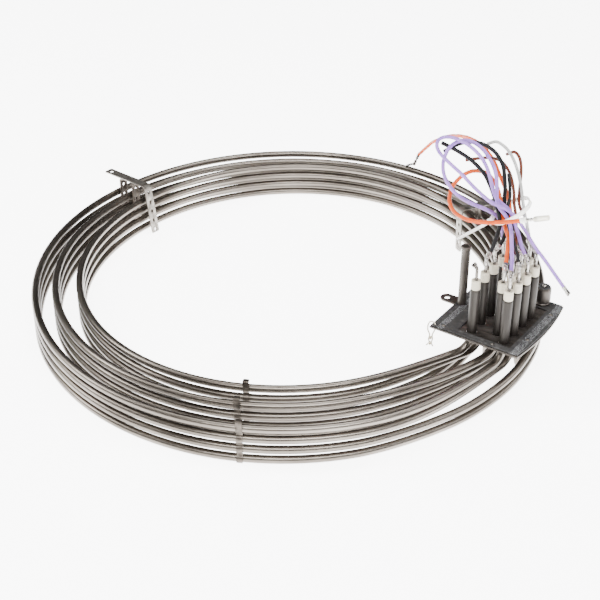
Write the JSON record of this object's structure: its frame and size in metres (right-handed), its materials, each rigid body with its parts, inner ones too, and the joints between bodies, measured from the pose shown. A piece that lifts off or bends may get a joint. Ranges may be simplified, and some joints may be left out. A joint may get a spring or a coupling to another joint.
{
  "type": "circular tubular electric heating element",
  "caption": "Nested coiled tubular heating elements on one mounting flange with ceramic-insulated terminals, silicone lead wires, spacer strips and clips, for a forced-air oven.",
  "frame": {"origin": "middle of the bounding box's bottom face, leads not counted: the plane under the lowest turns, close to the rings' centre", "axes": "+Z along the rings' common axis, from the lowest turns towards the terminals; +Y towards the back, the longer way across the rings, with the flange at the right front; +X to the right"},
  "size_m": [0.5966, 0.6339, 0.2499],
  "materials": {
    "ceramic": "unglazed cream ceramic bead",
    "connector": "white moulded nylon",
    "flange": "stamped sheet steel, silvery cut edges",
    "gasket": "dark graphite-grey sheet seal, matt",
    "lead_black": "matt silicone rubber insulation",
    "lead_brown": "matt silicone rubber insulation",
    "lead_orange": "matt silicone rubber insulation",
    "lead_purple": "matt silicone rubber insulation",
    "lead_white": "matt silicone rubber insulation",
    "seal": "black moulded rubber",
    "sheath": "satin stainless tube, slightly oxidised, darker towards the cold ends",
    "string": "twisted cotton string",
    "strip": "perforated bare steel strip, dull to bright",
    "terminal": "dull nickelled steel",
    "tie": "white nylon"
  },
  "bodies": {
    "root": {"bead_inner_1": "ceramic", "bead_inner_2": "ceramic", "bead_inner_3": "ceramic", "bead_inner_4": "ceramic", "bead_middle_1": "ceramic", "bead_middle_2": "ceramic", "bead_middle_3": "ceramic", "bead_middle_4": "ceramic", "bead_outer_1": "ceramic", "bead_outer_2": "ceramic", "bead_outer_3": "ceramic", "bead_outer_4": "ceramic", "cable_tie": "tie", "connector_boot": "connector", "connector_receptacle": "connector", "connector_ring": "terminal", "element_inner_lower": "sheath", "element_inner_upper": "sheath", "element_middle_lower": "sheath", "element_middle_upper": "sheath", "element_outer_lower": "sheath", "element_outer_upper": "sheath", "flange_gasket": "gasket", "flange_plate": "flange", "gland_body": "flange", "gland_pin": "terminal", "gland_seal": "seal", "inner_clip": "strip", "lead_black_1": "lead_black", "lead_black_2": "lead_black", "lead_black_3": "lead_black", "lead_brown_1": "lead_brown", "lead_brown_2": "lead_brown", "lead_orange_1": "lead_orange", "lead_orange_2": "lead_orange", "lead_purple_1": "lead_purple", "lead_purple_2": "lead_purple", "lead_white_1": "lead_white", "left_bracket_bar": "strip", "left_bracket_hanger_1": "strip", "left_bracket_hanger_2": "strip", "middle_clip": "strip", "outer_clip": "strip", "right_bracket_bar": "strip", "right_bracket_hanger_1": "strip", "right_bracket_hanger_2": "strip", "sensor_pocket": "sheath", "tag_string": "string", "terminal_inner_1": "terminal", "terminal_inner_2": "terminal", "terminal_inner_3": "terminal", "terminal_inner_4": "terminal", "terminal_middle_1": "terminal", "terminal_middle_2": "terminal", "terminal_middle_3": "terminal", "terminal_middle_4": "terminal", "terminal_outer_1": "terminal", "terminal_outer_2": "terminal", "terminal_outer_3": "terminal", "terminal_outer_4": "terminal"}
  },
  "joints": []
}
